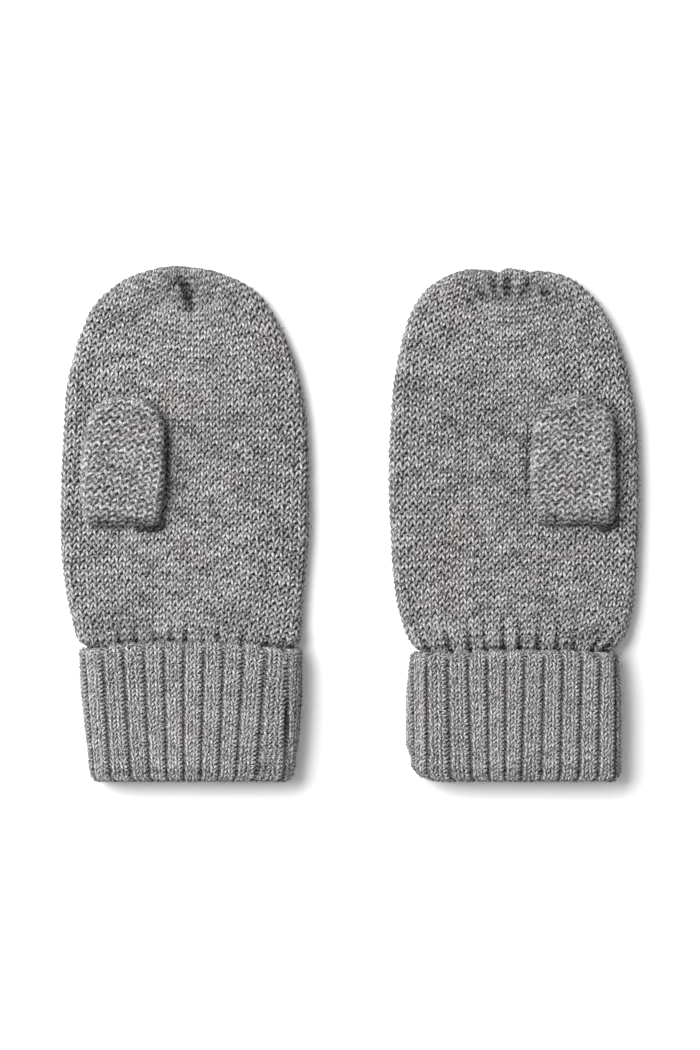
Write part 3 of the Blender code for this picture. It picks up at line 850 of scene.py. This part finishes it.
def hand_fuzz(hand, fuzz, count):
    low, high = hand.rim.min(0) - 9, hand.rim.max(0) + 9
    x = draw.uniform(low[0], high[0], count * 8)
    y = draw.uniform(hand.cuff.top + 2, high[1], count * 8)
    distance, _, _ = hand.from_rim(x, y)
    kept = (distance < 10) & ((distance > 2) | (draw.uniform(0, 1, len(x)) < 0.06))
    add_fuzz(hand, fuzz, x[kept][:count], y[kept][:count])


def cuff_fuzz(cuff, fuzz, count):
    ribs = draw.uniform(-2, cuff.face_ribs + 2, count)
    ribs[: count // 2] = draw.uniform(-2, 0, count // 2)
    ribs[: count // 4] += cuff.face_ribs + 2
    along = draw.uniform(2, cuff.length / 2 + 2, count)
    add_fuzz(cuff, fuzz, ribs, along)


# Cloth behind the stitches, dark with painted shade


def shell_object(name, rings, material):
    """A closed thin wall: rings of points down its outside and back up its inside."""
    rows, columns = len(rings), len(rings[0])
    i = np.arange(rows)[:, None]
    j = np.arange(columns)[None, :]
    k = (j + 1) % columns
    n = (i + 1) % rows
    faces = [i * columns + j, i * columns + k, n * columns + k, n * columns + j]
    faces = np.stack([np.broadcast_to(f, (rows, columns)) for f in faces], -1).reshape(-1, 4)
    mesh = bpy.data.meshes.new(name)
    mesh.from_pydata((np.concatenate(rings) * MM).tolist(), [], faces.tolist())
    clean = bmesh.new()
    clean.from_mesh(mesh)
    bmesh.ops.recalc_face_normals(clean, faces=clean.faces)
    clean.to_mesh(mesh)
    clean.free()
    mesh.shade_smooth()
    mesh.materials.append(material)
    item = bpy.data.objects.new(name, mesh)
    bpy.context.scene.collection.objects.link(item)
    return item


def bag_shell(name, bag, material, start):
    """A thin closed bag just behind the stitches of a hand or thumb."""
    tip = bag.high_y - SHELL_DEPTH
    radius = bag.radius
    flat_end = bag.high_y - radius
    wrist = np.arange(start, start + 11, 1.1)
    level = np.concatenate([wrist, np.arange(start + 11, 64, 3.5), np.arange(64, flat_end, 1.2)])
    level = np.append(level[level < flat_end - 0.3], flat_end)
    rows = [(y, 1.0) for y in level]
    rows += [(flat_end + (tip - flat_end) * math.sin(a), math.cos(a)) for a in (0.5, 0.95, 1.25, 1.45)]
    columns = 108
    around = np.arange(columns) / columns
    walls = ([], [])
    for wall, inset in zip(walls, (SHELL_DEPTH, SHELL_DEPTH + SHELL_THICKNESS)):
        for y, share in rows:
            if y > flat_end and inset > SHELL_DEPTH:
                y -= SHELL_THICKNESS * (1 - share)
            at = min(y + inset * smooth_step((y - bag.high_y + 25) / 25), bag.high_y - 0.3)
            left, right = bag.width_at(at)
            left, right = left + inset, right - inset
            half = (radius - inset) * max(share, 0.12)
            flat = max((right - left) / 2 - half, 0.1)
            length = 4 * flat + 2 * math.pi * half
            a = (around - 0.5) * length
            over = np.abs(a) - flat
            turn = np.clip(over / half, 0, math.pi)
            under = np.maximum(over - math.pi * half, 0)
            x = np.sign(a) * (np.minimum(np.abs(a), flat) - under + half * np.sin(turn))
            x = x + (left + right) / 2
            wall.append(bag.place(x, np.full(columns, y), half * np.cos(turn)))
    return shell_object(name, walls[0] + walls[1][::-1], material)


def cuff_shell(name, cuff, material):
    """A thin closed sleeve just behind the cuff's stitches, folded as the cuff is."""
    ribs = np.arange(cuff.ribs * 5) / 5
    places = np.concatenate(
        [
            np.linspace(0, 3.2, 5),
            np.linspace(6, cuff.length - 14, 12),
            np.linspace(cuff.length - 12.5, cuff.length, 12),
        ]
    )
    outer, inner = [], []
    for along in places:
        p, n, _ = cuff.frames(ribs, np.full(len(ribs), along))
        dip = rib_sink(ribs, along)
        outer.append(p - n * (CUFF_SHELL_FRONT + dip * 0.75)[:, None])
        inner.append(p - n * (CUFF_SHELL_BACK + dip * 0.5)[:, None])
    return shell_object(name, outer + inner[::-1], material)


# Materials


def node(tree, kind, **values):
    made = tree.nodes.new(kind)
    for key, value in values.items():
        if key.startswith("in_"):
            made.inputs[key[3:].replace("_", " ")].default_value = value
        else:
            setattr(made, key, value)
    return made


def maths(tree, operation, first, second=None, third=None, clamp=False):
    made = tree.nodes.new("ShaderNodeMath")
    made.operation = operation
    made.use_clamp = clamp
    for socket, value in zip(made.inputs, (first, second, third)):
        if value is None:
            continue
        if isinstance(value, (int, float)):
            socket.default_value = value
        else:
            tree.links.new(value, socket)
    return made.outputs[0]


def yarn_material(name, light, deep_shade, crest_light, patchy):
    """Heathered wool: fibres of several greys that run along the yarn, with a two-ply twist."""
    material = bpy.data.materials.new(name)
    material.use_nodes = True
    tree = material.node_tree
    shader = tree.nodes["Principled BSDF"]
    link = tree.links.new
    run = node(tree, "ShaderNodeAttribute", attribute_name="yarn_run").outputs["Fac"]
    around = node(tree, "ShaderNodeAttribute", attribute_name="yarn_around").outputs["Vector"]
    split = node(tree, "ShaderNodeSeparateXYZ")
    link(around, split.inputs[0])
    c, s, seed = split.outputs
    angle = maths(tree, "ARCTAN2", s, c)

    def along_noise(stretch, spread, scale, detail, shift):
        vector = node(tree, "ShaderNodeCombineXYZ")
        link(maths(tree, "MULTIPLY_ADD", run, stretch, shift), vector.inputs[0])
        link(maths(tree, "MULTIPLY", c, spread), vector.inputs[1])
        link(maths(tree, "MULTIPLY_ADD", s, spread, maths(tree, "MULTIPLY", seed, 3.7)), vector.inputs[2])
        noise = node(tree, "ShaderNodeTexNoise", in_Scale=scale, in_Detail=detail, in_Roughness=0.6)
        link(vector.outputs[0], noise.inputs["Vector"])
        return noise.outputs["Fac"]

    fibres = along_noise(0.75, 1.6, 1.6, 3.0, 0.0)
    patches = along_noise(0.03, 0.0, 1.0, 2.0, 40.0)
    flecks = along_noise(0.9, 1.0, 2.2, 2.0, 90.0)
    twist = maths(tree, "SINE", maths(tree, "MULTIPLY_ADD", run, 3.4, maths(tree, "MULTIPLY", angle, 2.0)))
    ply = maths(tree, "MULTIPLY_ADD", twist, 0.5, 0.5)

    tone = maths(tree, "MULTIPLY_ADD", maths(tree, "SUBTRACT", fibres, 0.5), FIBRE_CONTRAST, 0.5)
    tone = maths(tree, "MULTIPLY_ADD", maths(tree, "SUBTRACT", patches, 0.5), patchy, tone)
    # The twist's dark stripes are painted shade in the grooves between the plies; the same pattern also
    # drives the bump
    tone = maths(tree, "MULTIPLY_ADD", maths(tree, "SUBTRACT", ply, 0.5), 0.5, tone)
    ramp = node(tree, "ShaderNodeValToRGB")
    stops = ((0.0, 0.10), (0.28, 0.24), (0.52, 0.46), (0.78, 0.66), (1.0, 0.80))
    while len(ramp.color_ramp.elements) < len(stops):
        ramp.color_ramp.elements.new(0.5)
    for element, (place, grey) in zip(ramp.color_ramp.elements, stops):
        element.position = place
        g = grey * light
        element.color = (g * 1.01, g * 0.995, g * 0.998, 1)
    link(tone, ramp.inputs["Fac"])

    coordinates = node(tree, "ShaderNodeTexCoord")
    tint = node(tree, "ShaderNodeTexNoise", in_Scale=45.0, in_Detail=2.0)
    link(coordinates.outputs["Object"], tint.inputs["Vector"])
    warm = node(tree, "ShaderNodeMix", data_type="RGBA", blend_type="MULTIPLY")
    link(ramp.outputs["Color"], warm.inputs["A"])
    warm.inputs["B"].default_value = (1.03, 0.995, 0.97, 1)
    warmth = maths(tree, "SUBTRACT", tint.outputs["Fac"], 0.5, clamp=True)
    link(maths(tree, "MULTIPLY", warmth, 3.0, clamp=True), warm.inputs["Factor"])
    dark = node(tree, "ShaderNodeMix", data_type="RGBA", blend_type="MULTIPLY")
    link(warm.outputs["Result"], dark.inputs["A"])
    dark.inputs["B"].default_value = (0.25, 0.24, 0.25, 1)
    fleck = maths(tree, "MULTIPLY", maths(tree, "SUBTRACT", flecks, 0.62, clamp=True), 9.0, clamp=True)
    link(fleck, dark.inputs["Factor"])
    # Painted shade: the yarn's colour darkens with its depth behind the cloth, in folds and troughs, and
    # on rounded edges
    depth = node(tree, "ShaderNodeAttribute", attribute_name="yarn_painted_shade").outputs["Fac"]
    # Painted highlight and shade: each yarn's crest, the side facing out of the cloth, is lightened, and
    # its flanks and back are darkened
    top = maths(tree, "MAXIMUM", s, 0.0)
    painted_crest_light = maths(tree, "MULTIPLY_ADD", top, crest_light, 1.0 - 0.75 * crest_light)
    low = maths(tree, "SUBTRACT", 1.0, maths(tree, "MULTIPLY", depth, deep_shade), clamp=True)
    shade = maths(tree, "MULTIPLY", painted_crest_light, low)
    lit = node(tree, "ShaderNodeMix", data_type="RGBA", blend_type="MULTIPLY", in_Factor=1.0)
    link(dark.outputs["Result"], lit.inputs["A"])
    link(shade, lit.inputs["B"])
    link(lit.outputs["Result"], shader.inputs["Base Color"])

    height = maths(tree, "MULTIPLY_ADD", fibres, 0.6, maths(tree, "MULTIPLY", ply, 0.7))
    bump = node(tree, "ShaderNodeBump", in_Strength=0.7, in_Distance=0.00022)
    link(height, bump.inputs["Height"])
    link(bump.outputs["Normal"], shader.inputs["Normal"])
    shader.inputs["Roughness"].default_value = 0.88
    shader.inputs["Specular IOR Level"].default_value = 0.25
    shader.inputs["Sheen Weight"].default_value = 0.12
    shader.inputs["Sheen Roughness"].default_value = 0.45
    return material


def painted_shade_shell_material():
    """Painted shade: the wool behind the stitches, coloured dark to stand for the shade between them."""
    material = bpy.data.materials.new("wool_behind_painted_shade")
    material.use_nodes = True
    tree = material.node_tree
    shader = tree.nodes["Principled BSDF"]
    coordinates = node(tree, "ShaderNodeTexCoord")
    noise = node(tree, "ShaderNodeTexNoise", in_Scale=900.0, in_Detail=3.0)
    tree.links.new(coordinates.outputs["Object"], noise.inputs["Vector"])
    ramp = node(tree, "ShaderNodeValToRGB")
    ramp.color_ramp.elements[0].color = (0.05, 0.05, 0.05, 1)
    ramp.color_ramp.elements[1].color = (0.16, 0.155, 0.157, 1)
    tree.links.new(noise.outputs["Fac"], ramp.inputs["Fac"])
    tree.links.new(ramp.outputs["Color"], shader.inputs["Base Color"])
    bump = node(tree, "ShaderNodeBump", in_Strength=0.6, in_Distance=0.0003)
    tree.links.new(noise.outputs["Fac"], bump.inputs["Height"])
    tree.links.new(bump.outputs["Normal"], shader.inputs["Normal"])
    shader.inputs["Roughness"].default_value = 0.95
    shader.inputs["Specular IOR Level"].default_value = 0.1
    return material


# The mittens


def under_thumb(thumb):
    """Says which places on the palm the thumb hides."""

    def hidden(x, y):
        distance, _, _ = thumb.from_rim(x, y)
        return (distance < -0.6) & (y > thumb.low_y + THUMB_ROOT_RISE)

    return hidden


def finish_piece(item):
    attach(item, "root")
    return item


def make_mitten(side, wool, thumb_wool, cuff_wool, behind):
    cuff = Cuff(side)
    hand = Hand(side, cuff)
    thumb = Thumb(side)

    palm, under = knit_hand(side, hand, under_thumb(thumb))
    stitches = [
        finish_piece(palm.build(side + "_palm_stitches", wool)),
        finish_piece(under.build(side + "_back_stitches", wool)),
    ]
    cloth = finish_piece(bag_shell(side + "_hand_painted_shade_cloth", hand, behind, hand.low_y + 0.3))
    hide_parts(side + "_hand")
    left, right = hand.width_at(0.0)
    fuzz = Yarns(3)
    hand_fuzz(hand, fuzz, HAND_FIBRES)
    cuff_fuzz(cuff, fuzz, CUFF_FIBRES)
    stitches.append(finish_piece(fuzz.build(side + "_fuzz", wool)))

    yarns = knit_thumb(side, thumb)
    stitches = [finish_piece(yarns.build(side + "_thumb_stitches", thumb_wool))]
    cloth = finish_piece(bag_shell(side + "_thumb_painted_shade_cloth", thumb, behind, thumb.start))
    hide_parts(side + "_thumb")
    left, right = thumb.width_at(15.0)

    face, under = knit_cuff(cuff)
    stitches = [
        finish_piece(face.build(side + "_cuff_stitches", cuff_wool)),
        finish_piece(under.build(side + "_cuff_back_stitches", cuff_wool)),
    ]
    cloth = finish_piece(cuff_shell(side + "_cuff_painted_shade_cloth", cuff, behind))
    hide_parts(side + "_cuff")


# Floor, light and camera


def make_floor():
    material = bpy.data.materials.new("pale_floor")
    material.use_nodes = True
    tree = material.node_tree
    shader = tree.nodes["Principled BSDF"]
    noise = node(tree, "ShaderNodeTexNoise", in_Scale=400.0)
    ramp = node(tree, "ShaderNodeValToRGB")
    ramp.color_ramp.elements[0].color = (0.93, 0.93, 0.93, 1)
    ramp.color_ramp.elements[1].color = (0.95, 0.95, 0.95, 1)
    tree.links.new(noise.outputs["Fac"], ramp.inputs["Fac"])
    tree.links.new(ramp.outputs["Color"], shader.inputs["Base Color"])
    shader.inputs["Roughness"].default_value = 0.9
    shader.inputs["Specular IOR Level"].default_value = 0.1
    bpy.ops.mesh.primitive_plane_add(size=8, location=(0, 0, -0.0004))
    floor = bpy.context.object
    floor.name = "floor"
    floor.data.materials.append(material)


def make_light(name, position, size, power):
    lamp = bpy.data.lights.new(name, "AREA")
    lamp.shape = "SQUARE"
    lamp.size = size
    lamp.energy = power
    item = bpy.data.objects.new(name, lamp)
    item.location = position
    item.rotation_euler = (-Vector(position)).to_track_quat("-Z", "Y").to_euler()
    bpy.context.scene.collection.objects.link(item)


def make_world():
    world = bpy.data.worlds.new("soft_white")
    world.use_nodes = True
    background = world.node_tree.nodes["Background"]
    background.inputs["Color"].default_value = (1, 1, 1, 1)
    background.inputs["Strength"].default_value = WORLD_STRENGTH
    bpy.context.scene.world = world


def make_camera():
    data = bpy.data.cameras.new("camera")
    data.sensor_width = SENSOR
    data.lens = SENSOR * CAMERA_DISTANCE / (PHOTO_HEIGHT * PHOTO_SCALE)
    camera = bpy.data.objects.new("camera", data)
    camera.location = (0, CAMERA_Y, (CAMERA_DISTANCE + CAMERA_AIM_HEIGHT) * MM)
    bpy.context.scene.collection.objects.link(camera)
    bpy.context.scene.camera = camera


make_floor()
make_light("key", KEY_PLACE, KEY_SIZE, KEY_POWER)
make_world()
make_camera()
bpy.context.scene.view_settings.view_transform = "Standard"

wool = yarn_material(*HAND_WOOL)
thumb_wool = yarn_material(*THUMB_WOOL)
cuff_wool = yarn_material(*CUFF_WOOL)
behind = painted_shade_shell_material()
for side in SIDES:
    make_mitten(side, wool, thumb_wool, cuff_wool, behind)
